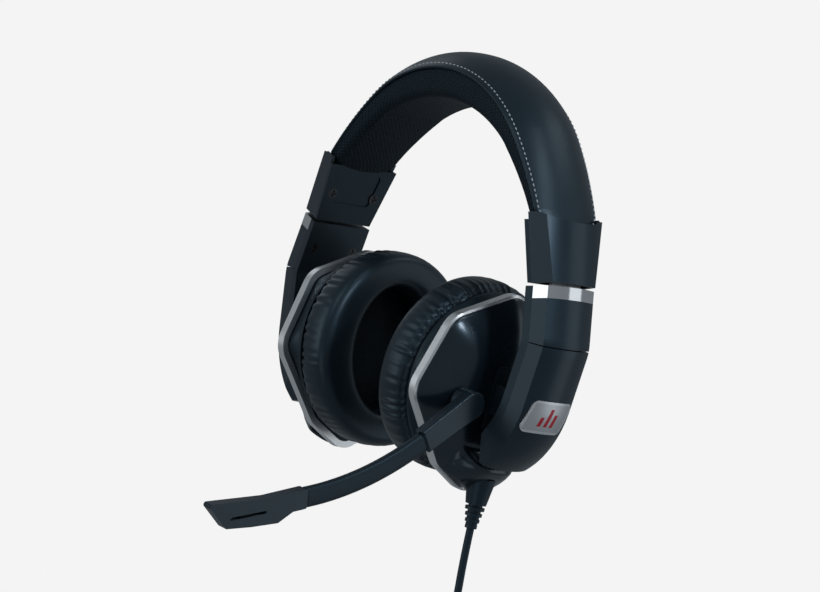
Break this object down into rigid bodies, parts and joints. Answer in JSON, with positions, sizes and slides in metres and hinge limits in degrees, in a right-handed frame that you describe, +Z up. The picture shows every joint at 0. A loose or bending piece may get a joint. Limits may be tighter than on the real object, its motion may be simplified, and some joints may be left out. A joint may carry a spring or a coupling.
{
  "type": "gaming headset",
  "caption": "Wired over-ear gaming headset: padded band with sliding arms, pivoting ear cups with round cushions, swing-up boom microphone with a bending stretch, and a coiled cord.",
  "frame": {"origin": "middle of the underside of the headband pad at the crown, where a head or a hook carries the headset", "axes": "+Z up, the wearer faces -Y, the wearer's left side, with the microphone and the cord, is +X; X=0 is the mirror plane of the two sides"},
  "size_m": [0.181, 0.2058, 0.3795],
  "materials": {
    "leatherette": "smooth black leatherette, satin",
    "perforated_leatherette": "black leatherette with rows of small perforations",
    "satin_plastic": "blue-black moulded plastic, satin gloss",
    "inner_plastic": "dark grey-black moulded plastic, matt",
    "gloss_plastic": "black piano-gloss plastic",
    "trim": "silver paint, semi-gloss",
    "chrome": "bright chrome plating",
    "badge": "satin silver plate with a bevelled rim",
    "steel": "plain spring and sheet steel",
    "screw": "black oxide screw steel",
    "cloth": "fine black acoustic mesh cloth",
    "diaphragm": "thin translucent film",
    "rubber": "black flexible PVC, satin",
    "jack_metal": "gold-plated contact"
  },
  "bodies": {
    "headband": {"headband_cover": "leatherette", "headband_pad": "perforated_leatherette", "spring_band": "steel", "sleeve_screws": "screw", "left_sleeve_shell": "satin_plastic", "right_sleeve_shell": "satin_plastic", "left_sleeve_plate": "inner_plastic", "right_sleeve_plate": "inner_plastic"},
    "left_arm": {"left_slider_strap": "steel", "left_chrome_band": "chrome", "left_badge": "badge", "left_arm_upper_cover": "satin_plastic", "left_arm_lower_cover": "satin_plastic", "left_arm_inner_cover": "inner_plastic", "left_arm_screws": "screw", "left_pivot_yoke": "steel"},
    "left_pivot": {"left_pivot_block": "inner_plastic"},
    "left_cup": {"left_tilt_pin": "steel", "left_cup_bracket": "inner_plastic", "left_cup_shell": "gloss_plastic", "left_trim_ring": "trim", "left_baffle": "inner_plastic", "left_driver_frame": "steel", "left_diaphragm": "diaphragm", "left_cushion_ring": "inner_plastic", "left_driver_cloth": "cloth", "left_ear_cushion": "leatherette", "mic_boss": "satin_plastic", "strain_relief": "rubber", "cord_lead": "rubber", "cord_coil": "rubber", "cord_tie": "rubber", "cord_tail": "rubber", "plug_body": "rubber", "jack": "jack_metal"},
    "right_arm": {"right_slider_strap": "steel", "right_chrome_band": "chrome", "right_badge": "badge", "right_arm_upper_cover": "satin_plastic", "right_arm_lower_cover": "satin_plastic", "right_arm_inner_cover": "inner_plastic", "right_arm_screws": "screw", "right_pivot_yoke": "steel"},
    "right_pivot": {"right_pivot_block": "inner_plastic"},
    "right_cup": {"right_tilt_pin": "steel", "right_cup_bracket": "inner_plastic", "right_cup_shell": "gloss_plastic", "right_trim_ring": "trim", "right_baffle": "inner_plastic", "right_driver_frame": "steel", "right_diaphragm": "diaphragm", "right_cushion_ring": "inner_plastic", "right_driver_cloth": "cloth", "right_ear_cushion": "leatherette"},
    "mic_arm": {"mic_link": "satin_plastic", "mic_flex_root": "rubber"},
    "mic_tip": {"mic_flex_tip": "rubber", "mic_cover_outer": "satin_plastic", "mic_cover_inner": "satin_plastic", "mic_element": "steel"}
  },
  "joints": [
    {"name": "left_slider", "type": "slide", "parent": "headband", "child": "left_arm", "axis": [0.2436, 0, -0.9699], "range_m": [0, 0.024]},
    {"name": "left_swivel", "type": "hinge", "parent": "left_arm", "child": "left_pivot", "pos_m": [0.0745, 0, -0.125], "axis": [0, 0, 1], "range_deg": [-8, 8]},
    {"name": "left_tilt", "type": "hinge", "parent": "left_pivot", "child": "left_cup", "pos_m": [0.0745, 0, -0.125], "axis": [0, 1, 0], "range_deg": [-7, 7]},
    {"name": "right_slider", "type": "slide", "parent": "headband", "child": "right_arm", "axis": [-0.2436, 0, -0.9699], "range_m": [0, 0.024]},
    {"name": "right_swivel", "type": "hinge", "parent": "right_arm", "child": "right_pivot", "pos_m": [-0.0745, 0, -0.125], "axis": [0, 0, 1], "range_deg": [-8, 8]},
    {"name": "right_tilt", "type": "hinge", "parent": "right_pivot", "child": "right_cup", "pos_m": [-0.0745, 0, -0.125], "axis": [0, 1, 0], "range_deg": [-7, 7]},
    {"name": "mic_swing", "type": "hinge", "parent": "left_cup", "child": "mic_arm", "pos_m": [0.06322, -0.0258, -0.12676], "axis": [0.9968, 0, -0.0799], "range_deg": [-100, 40]},
    {"name": "mic_bend", "type": "hinge", "parent": "mic_arm", "child": "mic_tip", "pos_m": [0.06026, -0.07596, -0.16377], "axis": [0.0711, -0.454, 0.8882], "range_deg": [-25, 25]}
  ]
}
